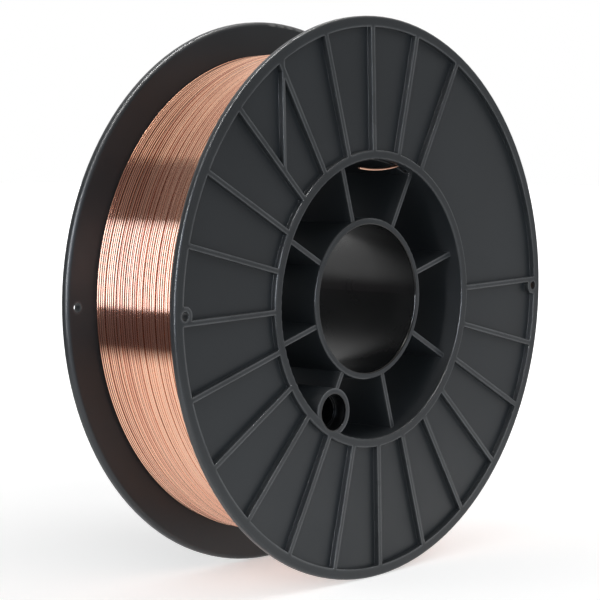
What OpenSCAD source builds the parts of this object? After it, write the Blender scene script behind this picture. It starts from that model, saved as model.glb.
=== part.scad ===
// Plastic spool of welding wire, with ribbed flanges, a webbed hub and a full winding.
// The axis of the spool lies along Y, and the origin is at the middle of the bore.
// The face at the negative end of Y is the near face. A clock angle is measured on it,
// clockwise from the top as that face is seen from outside.

/* [Spool] */
// Outer diameter of the flanges
spool_d = 200; // [194:1:206]
// Width over the two rims
spool_w = 55; // [50:0.5:60]

/* [Flange] */
// Thickness of a flange over its ribs
flange_t = 3.2; // [3:0.1:4]
// Thickness of the plate between the ribs
plate_t = 1.2; // [1:0.1:1.6]
// Width of the raised rim
rim_w = 3.8; // [3.4:0.1:5]
// Round on the inside edge of the rim, which the wire runs over
rim_round = 1.6; // [1:0.1:1.8]
// Round on the outside edge of the rim
rim_edge_round = 0.8; // [0.5:0.1:1]

/* [Ribs] */
// Places for ribs around a flange
rib_places = 24; // [24:24]
// Thickness of a rib
rib_t = 1.8; // [1.2:0.1:2.4]
// Clock angle of the first rib
rib_turn = -1.5; // [-4:0.5:4]
// First rib place that the blank panel takes up
panel_first = 3; // [3:4]
// Rib places that the blank panel takes up
panel_places = 3; // [2:3]
// Thickness of the slanted rib
slant_t = 1.2; // [0.8:0.1:1.8]
// Place of the rib that the slanted rib ends on
slant_place = 21; // [20:21]
// Clock angle from that rib to the slanted rib's end at the rim
slant_sweep = 16.5; // [15:0.5:18]
// Radius at which the slanted rib ends
slant_r = 66.3; // [63:0.1:72]

/* [Barrel] */
// Outer diameter of the barrel that the wire is wound on
barrel_d = 106; // [104:0.5:109]
// Wall of the barrel
barrel_wall = 3.3; // [2.6:0.1:3.8]
// Round on the edges of the collars and the bore tube
edge_round = 0.5; // [0.3:0.1:0.8]

/* [Hub] */
// Bore for the spindle
bore_d = 53; // [50.5:0.5:54]
// Wall of the bore tube
bore_wall = 2.4; // [1.8:0.1:3]
// Depth of the bore tube below the rim
hub_recess = 3.6; // [2:0.1:5]
// Webs between the bore tube and the barrel
web_count = 8; // [8:8]
// Thickness of a web
web_t = 1.8; // [1.4:0.1:2.4]
// Depth of a web below the end of the bore tube
web_recess = 0.6; // [0.6:0.1:2]
// Rib place that the first web lines up with
web_place = 2; // [2:2]

/* [Drive hole] */
// Diameter of the hole for the drive pin
drive_d = 10.5; // [10:0.1:11]
// Distance from the spool's axis to the drive hole
drive_r = 44.5; // [43.5:0.1:44.8]
// Clock angle of the drive hole
drive_clock = 211; // [208:0.5:212]
// Diameter of the wider mouth of the drive hole
drive_mouth_d = 12.8; // [11.8:0.1:13.2]
// Depth of that mouth from the rim's face
drive_mouth_depth = 5; // [3:0.5:8]
// Outer diameter of the boss around the drive hole
boss_d = 16.8; // [16:0.1:18]
// Depth of the boss below the collar
boss_recess = 0.3; // [0.2:0.1:1]

/* [Wire locks] */
// Diameter of the small holes that hold the wire's end
lock_d = 3.2; // [2.4:0.1:3.6]
// Distance from the rim's edge to the middle of a small hole
lock_in = 4.6; // [4.2:0.1:5]
// Plastic around a small hole
lock_wall = 1.6; // [1.2:0.1:2]
// Small holes in each flange
lock_count = 2; // [2:2]
// Clock angle of the first small hole
lock_turn = 90; // [90:90]

/* [Wire] */
// Diameter of the wire
wire_d = 1; // [0.6:0.1:1.2]
// Outer diameter of the winding
winding_d = 176; // [165:1:180]
// Gap between the winding and the plastic around it
winding_gap = 0.2; // [0.1:0.05:0.3]

/* [Wire start] */
// Clock angle of the slot that the wire's start passes through
slot_clock = 14; // [12:0.5:16]
// Length of that slot around the barrel
slot_len = 24; // [23:0.5:27]
// Width of that slot along the barrel
slot_w = 2.4; // [2:0.1:3]
// Clock angle at which the wire passes through the middle of the barrel's wall
tail_clock = 21.5; // [20:0.5:22]
// Angle at which the wire dips in through the slot
tail_dip = 35; // [34:0.5:38]
// Length of wire from the slot to the free end
tail_len = 23.5; // [16:0.5:25]
// Radius that the free wire is bent to
tail_bend_r = 62; // [55:1:80]

/* [Hidden] */
$fn = 96;

spool_r = spool_d / 2;
half_w = spool_w / 2;
rim_in_r = spool_r - rim_w;
plate_depth = flange_t - plate_t;
barrel_r = barrel_d / 2;
barrel_in_r = barrel_r - barrel_wall;
barrel_mid_r = barrel_r - barrel_wall / 2;
traverse_w = spool_w - 2 * flange_t;
rib_pitch = 360 / rib_places;
bore_r = bore_d / 2;
bore_out_r = bore_r + bore_wall;
hub_w = spool_w - 2 * hub_recess;
web_w = hub_w - 2 * web_recess;
boss_w = spool_w - 2 * boss_recess;
web_pitch = 360 / web_count;
lock_r = spool_r - lock_in;
lock_pad_d = lock_d + 2 * lock_wall;
lock_pitch = 360 / lock_count;
winding_r = winding_d / 2;
winding_in_r = barrel_r + winding_gap;
winding_w = traverse_w - 2 * winding_gap;
slot_end = half_w - flange_t;
tail_end = slot_end - slot_w / 2;
tail_root = (barrel_wall / 2 + winding_gap + wire_d) / sin(tail_dip);
tail_root_angle = tail_root / tail_bend_r * 180 / PI;
tail_angle = tail_len / tail_bend_r * 180 / PI;
// A cutting tool reaches this far past the plastic on each side
past = 1;

function rib_clock(place) = rib_turn + place * rib_pitch;
function web_clock(web) = rib_clock(web_place) + web * web_pitch;
function in_panel(place) = place >= panel_first && place < panel_first + panel_places;
function clock_point(clock, r) = [r * cos(clock - 90), r * sin(clock - 90)];

// Everything is drawn around Z, with the near face at the negative end, and then laid along Y
module lay_along_y() {
    rotate([-90, 0, 0]) children();
}

// Turns a feature that is drawn along X to a clock angle
module at_clock(clock) {
    rotate([0, 0, clock - 90]) children();
}

// Puts a feature that is drawn inwards from Z = 0 on the near face
module near_face() {
    translate([0, 0, -half_w]) children();
}

// Puts a feature that is drawn inwards from Z = 0 on both faces
module both_faces() {
    near_face() children();
    mirror([0, 0, 1]) near_face() children();
}

// Section of a ring from r_in to r_out and from end to end, with rounded corners
module ring_section(r_in, r_out, end_a, end_b, round_r) {
    translate([r_in + round_r, end_a])
        square([r_out - r_in - 2 * round_r, end_b - end_a]);
    translate([r_in, end_a + round_r])
        square([r_out - r_in, end_b - end_a - 2 * round_r]);
    for (r = [r_in + round_r, r_out - round_r], z = [end_a + round_r, end_b - round_r])
        translate([r, z]) circle(r = round_r);
}

// Section of a flange, drawn inwards from its outer face
module flange_section() {
    translate([barrel_mid_r, plate_depth])
        square([rim_in_r + rim_w / 2 - barrel_mid_r, plate_t]);
    translate([rim_in_r, 0])
        square([rim_w - rim_round, flange_t]);
    translate([rim_in_r, 0])
        square([rim_w - rim_edge_round, flange_t - rim_round]);
    translate([rim_in_r, rim_edge_round])
        square([rim_w, flange_t - rim_round - rim_edge_round]);
    translate([spool_r - rim_edge_round, rim_edge_round]) circle(r = rim_edge_round);
    translate([spool_r - rim_round, flange_t - rim_round]) circle(r = rim_round);
}

// Ribs from the collar to the rim, with a panel left bare
module flange_ribs() {
    rib_depth = plate_depth + plate_t / 2;
    for (place = [0 : rib_places - 1])
        if (!in_panel(place))
            at_clock(rib_clock(place))
                translate([barrel_mid_r, -rib_t / 2, 0])
                    cube([rim_in_r + rim_w / 2 - barrel_mid_r, rib_t, rib_depth]);
}

// Slanted rib that runs from the rim to one of the straight ribs
module slanted_rib() {
    inner = clock_point(rib_clock(slant_place), slant_r);
    outer = clock_point(rib_clock(slant_place) + slant_sweep, rim_in_r + rim_w / 2);
    run = outer - inner;
    translate([inner[0], inner[1], 0])
        rotate([0, 0, atan2(run[1], run[0])])
            translate([0, -slant_t / 2, 0])
                cube([norm(run), slant_t, plate_depth + plate_t / 2]);
}

// Pads around the small holes, flush with the rim
module lock_pads() {
    for (hole = [0 : lock_count - 1])
        at_clock(lock_turn + hole * lock_pitch)
            translate([lock_r, 0, 0])
                cylinder(d = lock_pad_d, h = plate_depth + plate_t / 2);
}

module lock_holes() {
    for (hole = [0 : lock_count - 1])
        at_clock(lock_turn + hole * lock_pitch)
            translate([lock_r, 0, -past])
                cylinder(d = lock_d, h = flange_t + 2 * past);
}

// Barrel wall, whose ends stand up as collars level with the rims
module barrel() {
    rotate_extrude()
        ring_section(barrel_in_r, barrel_r, -half_w, half_w, edge_round);
}

module bore_tube() {
    rotate_extrude()
        ring_section(bore_r, bore_out_r, -hub_w / 2, hub_w / 2, edge_round);
}

module webs() {
    web_in_r = bore_r + bore_wall / 2;
    for (web = [0 : web_count - 1])
        at_clock(web_clock(web))
            translate([web_in_r, -web_t / 2, -web_w / 2])
                cube([barrel_mid_r - web_in_r, web_t, web_w]);
}

// Boss around the drive hole, held inside the barrel's outer surface
module drive_boss() {
    intersection() {
        at_clock(drive_clock)
            translate([drive_r, 0, 0])
                cylinder(d = boss_d, h = boss_w, center = true);
        cylinder(r = barrel_mid_r, h = spool_w + 2 * past, center = true);
    }
}

module drive_hole() {
    at_clock(drive_clock)
        translate([drive_r, 0, 0]) {
            cylinder(d = drive_d, h = spool_w + 2 * past, center = true);
            for (end = [0, 1])
                mirror([0, 0, end])
                    translate([0, 0, -half_w - past])
                        cylinder(d = drive_mouth_d, h = drive_mouth_depth + past);
        }
}

// Slot in the barrel beside the near flange
module start_slot() {
    at_clock(slot_clock)
        translate([barrel_in_r - past, -slot_len / 2, -slot_end])
            cube([barrel_wall + 2 * past, slot_len, slot_w]);
}

module spool() {
    color([0.16, 0.17, 0.18])
        lay_along_y()
            difference() {
                union() {
                    both_faces() {
                        rotate_extrude() flange_section();
                        flange_ribs();
                        lock_pads();
                    }
                    near_face() slanted_rib();
                    barrel();
                    bore_tube();
                    webs();
                    drive_boss();
                }
                drive_hole();
                start_slot();
                both_faces() lock_holes();
            }
}

// The layers of wire, as one turned solid with its bore
module winding() {
    rotate_extrude()
        ring_section(winding_in_r, winding_r, -winding_w / 2, winding_w / 2, wire_d / 2);
}

// Start of the wire, which dips through the slot and ends in the hub
module start_tail() {
    at_clock(tail_clock)
        translate([barrel_mid_r, 0, -tail_end])
            rotate([0, 0, -tail_dip])
                translate([tail_bend_r, 0, 0])
                    rotate([0, 0, 180 - tail_root_angle])
                        rotate_extrude(angle = tail_root_angle + tail_angle)
                            translate([tail_bend_r, 0]) circle(d = wire_d);
}

module wire() {
    color([0.72, 0.40, 0.26])
        lay_along_y()
            union() {
                winding();
                start_tail();
            }
}

spool();
wire();
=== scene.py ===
import math
import random

import bmesh
import bpy
from mathutils import Matrix, Vector


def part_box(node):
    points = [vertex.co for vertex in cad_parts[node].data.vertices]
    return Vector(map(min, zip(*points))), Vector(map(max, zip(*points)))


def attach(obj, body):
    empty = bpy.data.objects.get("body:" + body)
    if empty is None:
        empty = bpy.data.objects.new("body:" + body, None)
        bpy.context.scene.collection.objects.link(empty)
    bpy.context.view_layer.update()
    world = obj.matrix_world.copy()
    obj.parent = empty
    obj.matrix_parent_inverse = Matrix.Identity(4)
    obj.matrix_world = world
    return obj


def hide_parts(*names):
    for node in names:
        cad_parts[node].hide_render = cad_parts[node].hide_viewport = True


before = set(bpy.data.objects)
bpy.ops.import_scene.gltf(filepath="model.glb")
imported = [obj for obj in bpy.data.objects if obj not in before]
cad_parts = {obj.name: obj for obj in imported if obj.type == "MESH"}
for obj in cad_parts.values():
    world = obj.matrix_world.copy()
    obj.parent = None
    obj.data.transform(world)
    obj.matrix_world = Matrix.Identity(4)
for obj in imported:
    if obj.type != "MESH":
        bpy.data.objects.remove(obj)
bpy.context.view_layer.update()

bl_info = {
    "name": "Welding Wire Spool",
    "version": (1, 0, 0),
    "blender": (4, 5, 0),
    "location": "View3D > Sidebar > Spool",
    "description": "Dresses a plastic spool of copper-coated welding wire and sets its stage",
    "category": "Object",
}

BODY = "root"
MM = 0.001
CENTRE = (0.0, 0.0, 0.0)
AXIS = (0.0, 1.0, 0.0)
WHITE = (1.0, 1.0, 1.0)

# Sizes that the frame gives
WIRE_LOW, WIRE_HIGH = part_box("wire")
WINDING_R = WIRE_HIGH.z
WINDING_W = WIRE_HIGH.y - WIRE_LOW.y
FLOOR_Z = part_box("spool")[0].z

# Sizes of the barrel that carries the wire, and the place of the wire's start along the axis
BARREL_R = 53.0 * MM
BARREL_WALL = 3.3 * MM
WINDING_GAP = 0.2 * MM
START_Y = -23.1 * MM

# Gaps in the outer layer: the turn each one follows, counted from the near or the far flange,
# and its width as a share of the gap that the user sets
GAPS_FROM_NEAR = {5: 0.9, 9: 0.4, 17: 0.3, 24: 0.5}
GAPS_FROM_FAR = {13: 0.4, 8: 1.0, 4: 0.8, 2: 0.8}

# How the winding is laid: turns left out for slack, the share of a turn in which the wire steps
# over a gap, how far the lower layers end under the outer one, as a share of a layer, and how
# deep the grooves between layers are at the winding's ends, as a share of the wire
SLACK_TURNS = 2
STEP_OVER = 0.08
CORE_DROP = 0.6
LAYER_DENT = 0.3

# Attribute that says how many turns are wound up to a point of the wire
WOUND = "turns_wound"

# Distances within which doubled points are merged, as shares of the wire
SEAM_MERGE = 0.01
CORE_MERGE = 0.001

# Steps of the two round sweeps that no user would change
CORE_STEPS = 96
START_STEPS = 32

# Painted shade in each deep hole: it gives way to the plastic between two distances from the
# hole's axis, and keeps this share of the plastic's colour
BORE_SHADE = (26.7 * MM, 27.3 * MM)
DRIVE_SHADE = (6.5 * MM, 7.0 * MM)
DRIVE_AXIS = (-22.919 * MM, 0.0, -38.144 * MM)
HOLE_PAINTED_SHADE_TONE = 0.15

# Scuffed edges, which also carry a painted highlight, reach this far from a corner. They and the
# holes' walls are smoother than the rest
EDGE_REACH = 1.0 * MM
EDGE_POLISH = 0.26
DEEP_POLISH = 0.12

# How fast the wire's tone and its drawing lines change along a turn and across the turns
TONE_PER_TURN = 5.0
TONE_PER_METRE = 700.0
LINES_PER_TURN = 60.0
LINES_PER_METRE = 9000.0

# Tones of the wire where it is rubbed pale, and of the floor where gloss finds it unlit
RUBBED_COPPER = (0.84, 0.60, 0.47)
UNLIT_FLOOR = (0.15, 0.12, 0.13)

# The room: white for gloss in the direction in which the camera looks, dim for gloss in the
# others, and even for matt surfaces
CAMERA_WAY = (0.74, 0.67, 0.0)
DIM_ROOM = 0.10
SOFT_ROOM = 0.55

# Glow that the floor adds to its own light: for the camera near the spool, and in gloss
NEAR_GLOW = 0.42
GLOSS_GLOW = 0.54

# Tints and turn of the cards
COOL = (0.88, 1.0, 1.20)
ROSE = (1.0, 0.84, 0.86)
CREAM = (1.0, 0.92, 0.86)
CARD_TURN = math.radians(12.0)

FLOOR_REACH = 6.0
FLOOR_CELLS = 8
TOP_STRIP_TURN = math.radians(-78.0)
PHOTO_SIDE = 600
SENSOR_WIDTH = 36.0
CLIP_START = 50.0 * MM


class SpoolPlastic(bpy.types.PropertyGroup):
    """Looks of the moulded spool"""
    colour: bpy.props.FloatVectorProperty(
        name="Plastic", description="Colour of the black plastic",
        subtype="COLOR", size=3, min=0, max=1, default=(0.0150, 0.0190, 0.0225))
    # Paler colour of the scuffed edges, which is partly a painted highlight along them
    scuff_and_highlight_colour: bpy.props.FloatVectorProperty(
        name="Scuffs", description="Colour of scuffs on the edges",
        subtype="COLOR", size=3, min=0, max=1, default=(0.19, 0.20, 0.21))
    edge_round: bpy.props.FloatProperty(
        name="Edge round", description="Radius that soft moulded edges look rounded to",
        unit="LENGTH", min=0, default=0.25 * MM)
    # Strength of the paler edges: scuffing and a painted highlight
    wear_and_highlight: bpy.props.FloatProperty(
        name="Wear", description="Strength of the scuffs on worn edges",
        subtype="FACTOR", min=0, max=1, default=0.50)
    flecks: bpy.props.FloatProperty(
        name="Flecks", description="Strength of the pale flecks on flat faces",
        subtype="FACTOR", min=0, max=1, default=0.30)


class WireLook(bpy.types.PropertyGroup):
    """Sizes and looks of the wire and its winding"""
    copper: bpy.props.FloatVectorProperty(
        name="Copper", description="Colour of the bright copper coating",
        subtype="COLOR", size=3, min=0, max=1, default=(0.85, 0.505, 0.36))
    tarnish: bpy.props.FloatVectorProperty(
        name="Tarnish", description="Colour of duller stretches of the coating",
        subtype="COLOR", size=3, min=0, max=1, default=(0.58, 0.28, 0.20))
    wire_d: bpy.props.FloatProperty(
        name="Wire", description="Diameter of the wire",
        unit="LENGTH", min=0.1 * MM, default=1.0 * MM)
    sides: bpy.props.IntProperty(
        name="Sides", description="Faces around the wire", min=4, max=16, default=10)
    steps: bpy.props.IntProperty(
        name="Steps", description="Steps of one turn of the wire", min=48, max=240, default=180)
    unevenness: bpy.props.FloatProperty(
        name="Unevenness", description="How far a turn sinks into its layer",
        unit="LENGTH", min=0, default=0.28 * MM)
    wander: bpy.props.FloatProperty(
        name="Wander", description="How far a turn strays sideways from its place",
        unit="LENGTH", min=0, default=0.08 * MM)
    knots: bpy.props.IntProperty(
        name="Knots", description="How often in one turn the wire can sink or stray",
        min=1, max=24, default=4)
    gap: bpy.props.FloatProperty(
        name="Gaps", description="Width of the widest gap left between turns",
        unit="LENGTH", min=0, default=0.34 * MM)
    seed: bpy.props.IntProperty(
        name="Seed", description="Start of the random choices of the winding", default=7)
    tail_clock: bpy.props.FloatProperty(
        name="Start", description="Clock angle at which the wire's start leaves the barrel",
        subtype="ANGLE", default=math.radians(21.5))
    tail_dip: bpy.props.FloatProperty(
        name="Dip", description="Angle at which the wire's start dips into the hub",
        subtype="ANGLE", default=math.radians(35.0))
    tail_bend_r: bpy.props.FloatProperty(
        name="Bend", description="Radius that the wire's start is bent to",
        unit="LENGTH", default=62.0 * MM)
    tail_len: bpy.props.FloatProperty(
        name="Start length", description="Length of wire from the barrel to the free end",
        unit="LENGTH", default=23.5 * MM)


class StudioView(bpy.types.PropertyGroup):
    """Place of the camera and colour of the floor"""
    focal_px: bpy.props.FloatProperty(
        name="Focal length", description="Focal length in pixels of a picture 600 pixels wide",
        subtype="PIXEL", default=1928.6)
    azimuth: bpy.props.FloatProperty(
        name="Azimuth", description="Turn of the camera around the spool",
        subtype="ANGLE", default=math.radians(-47.894))
    elevation: bpy.props.FloatProperty(
        name="Elevation", description="Height of the camera above the horizon",
        subtype="ANGLE", default=math.radians(4.498))
    distance: bpy.props.FloatProperty(
        name="Distance", description="Distance from the spool to the camera",
        unit="LENGTH", default=704.5 * MM)
    slide: bpy.props.FloatProperty(
        name="Slide", description="Sideways step of the camera",
        unit="LENGTH", default=-6.964 * MM)
    rise: bpy.props.FloatProperty(
        name="Rise", description="Upward step of the camera",
        unit="LENGTH", default=-1.674 * MM)
    floor_colour: bpy.props.FloatVectorProperty(
        name="Floor", description="Colour of the studio floor",
        subtype="COLOR", size=3, min=0, max=1, default=(0.9, 0.9, 0.9))


class NodeGraph:
    """Short calls that add shader nodes to a material or to the world and link them."""

    def __init__(self, owner, output):
        owner.use_nodes = True
        self.owner = owner
        self.tree = owner.node_tree
        self.tree.nodes.clear()
        self.output = self.add(output)

    def add(self, kind, links=None, **settings):
        node = self.tree.nodes.new("ShaderNode" + kind)
        for key, value in settings.items():
            setattr(node, key, value)
        for socket, value in (links or {}).items():
            self.feed(node, socket, value)
        return node

    def feed(self, node, socket, value):
        if isinstance(value, bpy.types.NodeSocket):
            self.tree.links.new(value, node.inputs[socket])
        else:
            node.inputs[socket].default_value = value

    def math(self, operation, a, b=0.0, clamp=False):
        node = self.add("Math", {0: a, 1: b}, operation=operation, use_clamp=clamp)
        return node.outputs[0]

    def times(self, a, b, clamp=False):
        return self.math("MULTIPLY", a, b, clamp)

    def span(self, value, low, high, to_low=0.0, to_high=1.0):
        """Maps the stretch from low to high to another one, and holds it past both ends."""
        node = self.add("MapRange", {"Value": value, "From Min": low, "From Max": high,
                                     "To Min": to_low, "To Max": to_high})
        return node.outputs["Result"]

    def blend(self, factor, a, b):
        node = self.add("Mix", {0: factor, 6: a, 7: b}, data_type="RGBA")
        return node.outputs[2]

    def noise(self, vector, scale, detail=3.0, rough=0.55):
        node = self.add("TexNoise", {"Vector": vector, "Scale": scale, "Detail": detail,
                                     "Roughness": rough})
        return node.outputs["Fac"]

    def object_place(self):
        return self.add("TexCoord").outputs["Object"]

    def bump(self, height, strength, distance, normal=None):
        node = self.add("Bump", {"Height": height, "Strength": strength, "Distance": distance})
        if normal is not None:
            self.feed(node, "Normal", normal)
        return node.outputs["Normal"]

    def finish(self, shader):
        self.tree.links.new(shader, self.output.inputs["Surface"])
        return self.owner


def material_graph(name):
    return NodeGraph(bpy.data.materials.new(name), "OutputMaterial")


def rgba(colour, share=1.0):
    """A colour with its brightness multiplied, in the form that a socket takes."""
    return tuple(part * share for part in colour) + (1.0,)


def around_axis(graph):
    """Angle around the spool's axis, place along it and radius, each as a socket."""
    split = graph.add("SeparateXYZ", {0: graph.object_place()}).outputs
    angle = graph.math("ARCTAN2", split["X"], split["Z"])
    squares = graph.math("ADD", graph.times(split["X"], split["X"]),
                         graph.times(split["Z"], split["Z"]))
    return angle, split["Y"], graph.math("SQRT", squares)


def deep_in_holes(graph, place):
    """1 inside the bore and the drive hole, where shade is painted, and 0 on the plastic around
    them.
    """
    in_bore = graph.span(around_axis(graph)[2], *BORE_SHADE, to_low=1.0, to_high=0.0)
    flat = graph.add("VectorMath", {0: place, 1: (1.0, 0.0, 1.0)}, operation="MULTIPLY").outputs[0]
    from_drive = graph.add("VectorMath", {0: flat, 1: DRIVE_AXIS}, operation="DISTANCE")
    in_drive = graph.span(from_drive.outputs["Value"], *DRIVE_SHADE, to_low=1.0, to_high=0.0)
    return graph.math("MAXIMUM", in_bore, in_drive)


def moulded_plastic(look):
    """Black moulded plastic with a fine grain, soft flow marks, paler edges that are partly scuffs
    and partly a painted highlight, and painted shade in the bore and the drive hole.
    """
    graph = material_graph("black_moulded_plastic")
    place = graph.object_place()
    cloud = graph.noise(place, scale=38.0, detail=4.0)
    flow = graph.noise(place, scale=9.0, detail=2.0)
    grain = graph.noise(place, scale=2600.0, detail=2.0)
    speck = graph.noise(place, scale=900.0, rough=0.7)
    deep = deep_in_holes(graph, place)
    corner = graph.add("AmbientOcclusion", {"Distance": EDGE_REACH}, samples=8, inside=True,
                       only_local=True).outputs["AO"]
    edge = graph.span(corner, low=0.95, high=0.55)

    patchy = graph.span(cloud, low=0.30, high=0.60, to_low=0.45)
    # Paler edges in patches: scuffs plus a painted highlight along the convex corners
    worn_and_highlight = graph.times(edge, patchy, clamp=True)
    fleck = graph.times(graph.span(speck, low=0.70, high=0.80), look.flecks, clamp=True)
    marks_and_highlight = graph.math("MAXIMUM", graph.times(worn_and_highlight, look.wear_and_highlight), fleck)
    tone = graph.blend(graph.span(flow, low=0.35, high=0.65),
                       rgba(look.colour, share=0.88), rgba(look.colour, share=1.15))
    colour = graph.blend(marks_and_highlight, tone, rgba(look.scuff_and_highlight_colour))
    # Painted shade: the walls of the bore and the drive hole are darkened to a small share of the
    # plastic's colour
    colour = graph.blend(deep, colour, rgba(look.colour, HOLE_PAINTED_SHADE_TONE))

    rough = graph.span(cloud, low=0.3, high=0.7, to_low=0.36, to_high=0.46)
    for smoother, by in ((edge, EDGE_POLISH), (deep, DEEP_POLISH)):
        rough = graph.math("SUBTRACT", rough, graph.times(smoother, by))

    soft_edge = graph.add("Bevel", {"Radius": look.edge_round}, samples=6).outputs["Normal"]
    normal = graph.bump(grain, strength=0.10, distance=0.05 * MM, normal=soft_edge)
    normal = graph.bump(flow, strength=0.25, distance=0.15 * MM, normal=normal)
    shader = graph.add("BsdfPrincipled", {"Base Color": colour, "Roughness": rough,
                                          "Normal": normal, "IOR": 1.5})
    return graph.finish(shader.outputs["BSDF"])


def copper_wire(look):
    """Copper-coated wire whose tone changes slowly along the wire, with fine drawing lines."""
    graph = material_graph("copper_coated_wire")
    angle, along, radius = around_axis(graph)
    wound = graph.add("Attribute", attribute_name=WOUND).outputs["Fac"]
    lay = graph.add("CombineXYZ", {0: graph.times(wound, TONE_PER_TURN), 1: 0.0,
                                   2: graph.times(radius, TONE_PER_METRE)}).outputs[0]
    by_turn = graph.noise(lay, scale=1.0, rough=0.6)
    fine_lay = graph.add("CombineXYZ", {0: graph.times(wound, LINES_PER_TURN),
                                        1: graph.times(along, LINES_PER_METRE),
                                        2: angle}).outputs[0]
    drawn = graph.noise(fine_lay, scale=1.0, rough=0.6)
    wide = graph.noise(graph.object_place(), scale=24.0)

    dull = graph.times(graph.span(by_turn, low=0.46, high=0.68), 0.8, clamp=True)
    rubbed = graph.times(graph.span(wide, low=0.5, high=0.75), 0.25, clamp=True)
    colour = graph.blend(dull, rgba(look.copper), rgba(look.tarnish))
    colour = graph.blend(rubbed, colour, rgba(RUBBED_COPPER))
    rough = graph.math("ADD", graph.span(drawn, low=0.3, high=0.7, to_low=0.05, to_high=0.09),
                       graph.times(dull, 0.05))
    normal = graph.bump(drawn, strength=0.25, distance=0.02 * MM)
    shader = graph.add("BsdfPrincipled", {"Base Color": colour, "Roughness": rough,
                                          "Normal": normal, "Metallic": 1.0})
    return graph.finish(shader.outputs["BSDF"])


def ray_kinds(graph):
    """Two sockets: 1 for rays from the camera, and 1 for rays that gloss or glass sends."""
    path = graph.add("LightPath").outputs
    mirrored = graph.math("MAXIMUM", path["Is Glossy Ray"], path["Is Transmission Ray"])
    return path["Is Camera Ray"], mirrored


def studio_floor(view):
    """White floor that keeps the spool's shadow. Gloss shows it white near the spool only."""
    graph = material_graph("studio_floor")
    place = graph.object_place()
    split = graph.add("SeparateXYZ", {0: place}).outputs
    flat = graph.add("CombineXYZ", {0: split["X"], 1: split["Y"], 2: 0.0}).outputs[0]
    away = graph.add("VectorMath", {0: flat}, operation="LENGTH").outputs["Value"]
    camera, mirrored = ray_kinds(graph)
    beyond = graph.times(graph.span(away, low=0.25, high=0.33),
                         graph.span(split["X"], low=0.10, high=0.25, to_low=1.0, to_high=0.5))
    unlit = graph.times(mirrored, beyond)

    paler = rgba([min(1.0, part * 1.02) for part in view.floor_colour])
    colour = graph.blend(graph.noise(place, scale=3.0, detail=2.0), rgba(view.floor_colour), paler)
    colour = graph.blend(unlit, colour, rgba(UNLIT_FLOOR))
    matt = graph.add("BsdfDiffuse", {"Color": colour, "Roughness": 0.6})
    for_camera = graph.times(camera, graph.span(away, low=0.2, high=1.2, to_low=NEAR_GLOW))
    for_gloss = graph.times(graph.math("SUBTRACT", mirrored, unlit), GLOSS_GLOW)
    glow = graph.add("Emission", {"Color": rgba(WHITE),
                                  "Strength": graph.math("ADD", for_camera, for_gloss)})
    both = graph.add("AddShader", {0: matt.outputs[0], 1: glow.outputs[0]})
    return graph.finish(both.outputs[0])


def new_object(name, shape, material):
    """Makes an object from a bmesh and gives it its finish."""
    mesh = bpy.data.meshes.new(name)
    shape.to_mesh(mesh)
    shape.free()
    mesh.materials.append(material)
    thing = bpy.data.objects.new(name, mesh)
    bpy.context.scene.collection.objects.link(thing)
    return thing


def wire_ring(shape, look, radius, along):
    """One cross-section of the wire, standing across its way at the right of the axis."""
    ring = bmesh.ops.create_circle(shape, segments=look.sides, radius=look.wire_d / 2)["verts"]
    bmesh.ops.transform(shape, matrix=Matrix.Translation((radius, along, 0.0)), verts=ring)
    return ring


def sweep_wire(shape, ring, angle, steps, lead=0.0):
    """Sweeps a cross-section about the axis, and along it by the lead at each step."""
    bmesh.ops.spin(shape, geom=ring + shape.edges[:], cent=CENTRE, axis=AXIS,
                   dvec=(0.0, lead, 0.0), angle=angle, steps=steps,
                   use_merge=False, use_duplicate=False)


def close_ends(shape, sides):
    """Caps the wire's two open ends and turns every face outwards."""
    ends = [edge for edge in shape.edges if edge.is_boundary]
    bmesh.ops.holes_fill(shape, edges=ends, sides=sides)
    bmesh.ops.recalc_face_normals(shape, faces=shape.faces)


def wound_turns(look):
    """The outer layer of wire: one closed helix of round wire, laid flange to flange."""
    turns = int(WINDING_W / look.wire_d) - SLACK_TURNS
    gaps = {**GAPS_FROM_NEAR, **{turns - back: width for back, width in GAPS_FROM_FAR.items()}}
    pitch = (WINDING_W - look.wire_d - look.gap * sum(gaps.values())) / turns
    shape = bmesh.new()
    wound = shape.verts.layers.float.new(WOUND)
    ring = wire_ring(shape, look, WINDING_R - look.wire_d / 2, WIRE_LOW.y + look.wire_d / 2)
    sweep_wire(shape, ring, math.tau, look.steps, lead=pitch / look.steps)
    shape.verts.index_update()
    for vert in shape.verts:
        vert[wound] = (vert.index // look.sides) / look.steps
    first_turn = shape.verts[:] + shape.edges[:] + shape.faces[:]
    for turn in range(1, turns):
        copy = bmesh.ops.duplicate(shape, geom=first_turn)["geom"]
        laid = [item for item in copy if isinstance(item, bmesh.types.BMVert)]
        bmesh.ops.translate(shape, verts=laid, vec=(0.0, pitch * turn, 0.0))
        for vert in laid:
            vert[wound] += turn
    seams = [vert for vert in shape.verts if vert.is_boundary]
    bmesh.ops.remove_doubles(shape, verts=seams, dist=look.wire_d * SEAM_MERGE)
    close_ends(shape, look.sides)
    unsettle(shape, look, turns, gaps)
    return shape


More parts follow.
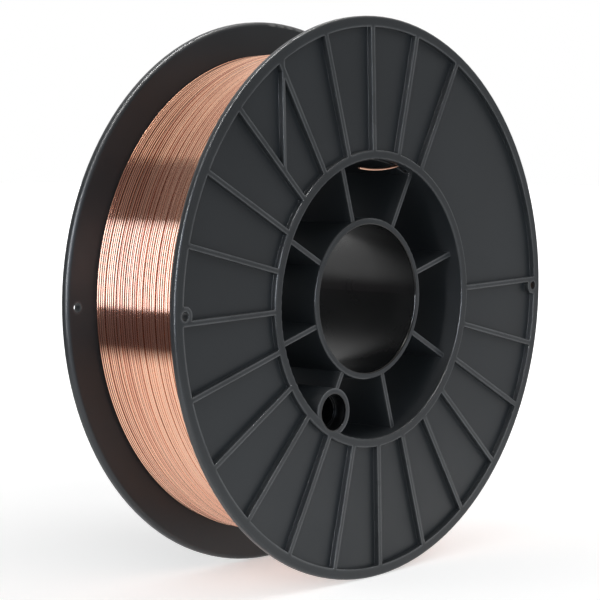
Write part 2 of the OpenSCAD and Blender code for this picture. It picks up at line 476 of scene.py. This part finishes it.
def unsettle(shape, look, turns, gaps):
    """Lets the wire sink and stray a little along its way, and leaves the few gaps."""
    rand = random.Random(look.seed)
    # The last point of the wire still needs the knot after its own
    knots = turns * look.knots + 2
    sinks = [rand.uniform(-1.0, 0.0) for _ in range(knots)]
    strays = [rand.uniform(-1.0, 1.0) for _ in range(knots)]
    wound = shape.verts.layers.float[WOUND]
    for vert in shape.verts:
        place = vert[wound] * look.knots
        knot = int(place)
        ease = 0.5 - 0.5 * math.cos((place - knot) * math.pi)
        sink = look.unevenness * (sinks[knot] * (1 - ease) + sinks[knot + 1] * ease)
        stray = look.wander * (strays[knot] * (1 - ease) + strays[knot + 1] * ease)
        from_ends = min(1.0, vert[wound], turns - vert[wound])
        shift = sum(width * min(1.0, max(0.0, (vert[wound] - turn) / STEP_OVER))
                    for turn, width in gaps.items())
        radius = math.hypot(vert.co.x, vert.co.z)
        scale = (radius + sink) / radius
        vert.co.x *= scale
        vert.co.z *= scale
        vert.co.y += look.gap * shift + stray * from_ends


def wound_core(look):
    """The layers under the outer turns, as one turned solid whose ends show its layers."""
    lift = look.wire_d * math.sqrt(3) / 2
    inner_r = BARREL_R + WINDING_GAP
    outer_r = WINDING_R - look.wire_d / 2 - lift * CORE_DROP
    layers = int((outer_r - inner_r) / lift)
    layer_t = (outer_r - inner_r) / layers
    half = WINDING_W / 2
    dent = look.wire_d * LAYER_DENT
    section = [(inner_r + layer_t * step / 2, half - dent * (step % 2 == 0))
               for step in range(2 * layers + 1)]
    section += [(radius, -along) for radius, along in reversed(section)]
    shape = bmesh.new()
    verts = [shape.verts.new((radius, along, 0.0)) for radius, along in section]
    edges = [shape.edges.new((verts[i - 1], verts[i])) for i in range(len(verts))]
    bmesh.ops.spin(shape, geom=verts + edges, cent=CENTRE, axis=AXIS, angle=math.tau,
                   steps=CORE_STEPS, use_merge=True, use_duplicate=False)
    bmesh.ops.remove_doubles(shape, verts=shape.verts, dist=look.wire_d * CORE_MERGE)
    bmesh.ops.recalc_face_normals(shape, faces=shape.faces)
    return shape


def turn_back(angle):
    """A turn about the spool's axis, anticlockwise as the near side shows it."""
    return Matrix.Rotation(-angle, 4, "Y")


def wire_start(look):
    """The start of the wire, which dips through the barrel and is bent along one arc."""
    root = (BARREL_WALL / 2 + WINDING_GAP + look.wire_d) / math.sin(look.tail_dip)
    root_angle = root / look.tail_bend_r
    whole_angle = root_angle + look.tail_len / look.tail_bend_r
    shape = bmesh.new()
    ring = wire_ring(shape, look, look.tail_bend_r, 0.0)
    sweep_wire(shape, ring, whole_angle, START_STEPS)
    place = (turn_back(math.pi / 2 - look.tail_clock)
             @ Matrix.Translation((BARREL_R - BARREL_WALL / 2, START_Y, 0.0))
             @ turn_back(look.tail_dip) @ Matrix.Translation((look.tail_bend_r, 0.0, 0.0))
             @ turn_back(math.pi + root_angle))
    bmesh.ops.transform(shape, matrix=place, verts=shape.verts)
    close_ends(shape, look.sides)
    return shape


class SPOOL_OT_plastic(bpy.types.Operator):
    """Gives the moulded spool its black plastic"""
    bl_idname = "spool.plastic"
    bl_label = "Black plastic"

    def execute(self, context):
        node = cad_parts["spool"]
        node.data.materials.clear()
        node.data.materials.append(moulded_plastic(context.scene.spool_plastic))
        return {"FINISHED"}


class SPOOL_OT_wire(bpy.types.Operator):
    """Winds the layers, the outer turns and the start of the copper-coated wire"""
    bl_idname = "spool.wire"
    bl_label = "Copper wire"

    def execute(self, context):
        look = context.scene.spool_wire
        copper = copper_wire(look)
        for name, make in (("wound_layers", wound_core), ("outer_turns", wound_turns),
                           ("wire_start", wire_start)):
            piece = new_object(name, make(look), copper)
            piece.data.shade_smooth()
            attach(piece, BODY)
            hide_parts("wire")
        return {"FINISHED"}


class SPOOL_OT_stage(bpy.types.Operator):
    """Sets the floor, the lamps, the cards, the world and the camera"""
    bl_idname = "spool.stage"
    bl_label = "Studio"

    def execute(self, context):
        view = context.scene.spool_view
        make_floor(view)
        make_lamps()
        make_edge_strips()
        make_cards()
        make_world()
        make_camera(view)
        context.scene.view_settings.view_transform = "Standard"
        return {"FINISHED"}


def make_floor(view):
    shape = bmesh.new()
    bmesh.ops.create_grid(shape, x_segments=FLOOR_CELLS, y_segments=FLOOR_CELLS, size=FLOOR_REACH)
    bmesh.ops.translate(shape, verts=shape.verts, vec=(0.0, 0.0, FLOOR_Z))
    new_object("floor", shape, studio_floor(view))


def add_lamp(name, place, size, power, aim=CENTRE):
    """A rectangular lamp that is aimed at a point and that gloss doesn't show."""
    data = bpy.data.lights.new(name, "AREA")
    data.shape = "RECTANGLE"
    data.size, data.size_y = size
    data.energy = power
    lamp = bpy.data.objects.new(name, data)
    lamp.location = place
    lamp.rotation_euler = (Vector(aim) - Vector(place)).to_track_quat("-Z", "Y").to_euler()
    lamp.visible_glossy = False
    bpy.context.scene.collection.objects.link(lamp)
    return lamp


def make_lamps():
    add_lamp("key_softbox", place=(0.9, -0.9, 1.3), size=(0.8, 0.8), power=5.5)
    add_lamp("left_card", place=(-1.3, 1.1, 0.30), size=(1.2, 0.8), power=6.0)
    add_lamp("front_fill", place=(-0.4, -1.6, 0.02), size=(1.4, 0.9), power=8.0)


def make_edge_strips():
    """Narrow lamps that only the plastic's gloss shows, as bright lines on its round edges."""
    side = add_lamp("side_edge_strip", place=(-0.93, -0.20, 0.33), size=(0.05, 0.9), power=12.0,
                    aim=(0.0, 0.0, 0.33))
    top = add_lamp("top_edge_strip", place=(-0.15, -0.05, 0.95), size=(0.05, 1.1), power=16.0)
    top.rotation_euler = (0.0, 0.0, TOP_STRIP_TURN)
    plastic_only = bpy.data.collections.new("plastic_only")
    plastic_only.objects.link(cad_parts["spool"])
    for strip in (side, top):
        strip.visible_glossy = True
        strip.visible_diffuse = False
        strip.light_linking.receiver_collection = plastic_only


def add_card(name, corners, strength, tint):
    """A bright card that only gloss shows, as a softbox is seen in metal."""
    graph = material_graph(name)
    light = graph.add("Emission", {"Color": rgba(tint), "Strength": strength})
    shape = bmesh.new()
    shape.faces.new([shape.verts.new(corner) for corner in corners])
    card = new_object(name, shape, graph.finish(light.outputs[0]))
    card.visible_camera = False
    card.visible_diffuse = False
    card.visible_shadow = False
    card.visible_transmission = False


def around(first, second):
    """The four corners of a rectangle, from its two spans."""
    return [(first[0], second[0]), (first[1], second[0]),
            (first[1], second[1]), (first[0], second[1])]


def standing_card(name, away, across, up, strength, tint):
    """An upright card at the left of the spool, turned a little towards the camera."""
    out = Vector((-math.cos(CARD_TURN), -math.sin(CARD_TURN), 0.0))
    side = Vector((math.sin(CARD_TURN), -math.cos(CARD_TURN), 0.0))
    corners = [out * away + side * sideways + Vector((0.0, 0.0, height))
               for sideways, height in around(across, up)]
    add_card(name, corners, strength, tint)


def hanging_card(name, height, across, back, strength, tint):
    """A level card over the spool."""
    corners = [(x, y, height) for x, y in around(across, back)]
    add_card(name, corners, strength, tint)


def make_cards():
    """The softboxes and the dim wall whose reflections are the bands along the wire."""
    standing_card("side_softbox", away=1.0, across=(-0.35, 1.6), up=(-0.078, 0.56),
                  strength=2.1, tint=COOL)
    standing_card("side_strip", away=0.98, across=(-0.07, 0.07), up=(-0.070, 0.50),
                  strength=8.0, tint=COOL)
    standing_card("side_wall", away=1.02, across=(-0.35, 1.6), up=(0.56, 1.5),
                  strength=0.26, tint=ROSE)
    hanging_card("top_softbox", height=1.0, across=(-0.66, 1.2), back=(-0.75, 0.1),
                 strength=1.08, tint=CREAM)


def make_world():
    """White for the camera, even for matt surfaces, and a room that is mostly dim for gloss."""
    world = bpy.data.worlds.new("studio_air")
    bpy.context.scene.world = world
    graph = NodeGraph(world, "OutputWorld")
    camera, mirrored = ray_kinds(graph)
    aim = graph.add("TexCoord").outputs["Generated"]
    ahead = graph.add("VectorMath", {0: aim, 1: CAMERA_WAY}, operation="DOT_PRODUCT")
    room = graph.span(ahead.outputs["Value"], low=0.15, high=0.45, to_low=DIM_ROOM)
    spread = graph.math("SUBTRACT", 1.0, graph.math("MAXIMUM", camera, mirrored))
    strength = graph.math("ADD", camera, graph.math("ADD", graph.times(mirrored, room),
                                                    graph.times(spread, SOFT_ROOM)))
    air = graph.add("Background", {"Color": rgba(WHITE), "Strength": strength})
    graph.finish(air.outputs[0])


def make_camera(view):
    """The camera of the photo, aimed at the spool's centre and then slid and raised a little."""
    turn, climb = view.azimuth, view.elevation
    back = Vector((math.sin(turn) * math.cos(climb), -math.cos(turn) * math.cos(climb),
                   math.sin(climb)))
    right = Vector((math.cos(turn), math.sin(turn), 0.0))
    up = back.cross(right)
    data = bpy.data.cameras.new("camera")
    data.sensor_width = SENSOR_WIDTH
    data.lens = view.focal_px / PHOTO_SIDE * SENSOR_WIDTH
    data.clip_start = CLIP_START
    camera = bpy.data.objects.new("camera", data)
    place = back * view.distance + right * view.slide + up * view.rise
    axes = Matrix((right, up, back)).transposed().to_4x4()
    camera.matrix_world = Matrix.Translation(place) @ axes
    bpy.context.scene.collection.objects.link(camera)
    bpy.context.scene.camera = camera


class SPOOL_PT_panel(bpy.types.Panel):
    """Lists the steps that dress the spool"""
    bl_label = "Welding Wire Spool"
    bl_idname = "SPOOL_PT_panel"
    bl_space_type = "VIEW_3D"
    bl_region_type = "UI"
    bl_category = "Spool"

    def draw(self, context):
        scene = context.scene
        for owner, operator in ((scene.spool_plastic, "spool.plastic"),
                                (scene.spool_wire, "spool.wire"),
                                (scene.spool_view, "spool.stage")):
            box = self.layout.box()
            for name in owner.bl_rna.properties.keys():
                if name not in ("rna_type", "name"):
                    box.prop(owner, name)
            box.operator(operator)


CLASSES = (SpoolPlastic, WireLook, StudioView, SPOOL_OT_plastic, SPOOL_OT_wire,
           SPOOL_OT_stage, SPOOL_PT_panel)


def register():
    for item in CLASSES:
        bpy.utils.register_class(item)
    bpy.types.Scene.spool_plastic = bpy.props.PointerProperty(type=SpoolPlastic)
    bpy.types.Scene.spool_wire = bpy.props.PointerProperty(type=WireLook)
    bpy.types.Scene.spool_view = bpy.props.PointerProperty(type=StudioView)


def unregister():
    del bpy.types.Scene.spool_view
    del bpy.types.Scene.spool_wire
    del bpy.types.Scene.spool_plastic
    for item in reversed(CLASSES):
        bpy.utils.unregister_class(item)


def main():
    register()
    bpy.ops.spool.stage()
    bpy.ops.spool.plastic()
    bpy.ops.spool.wire()


if __name__ == "__main__":
    main()
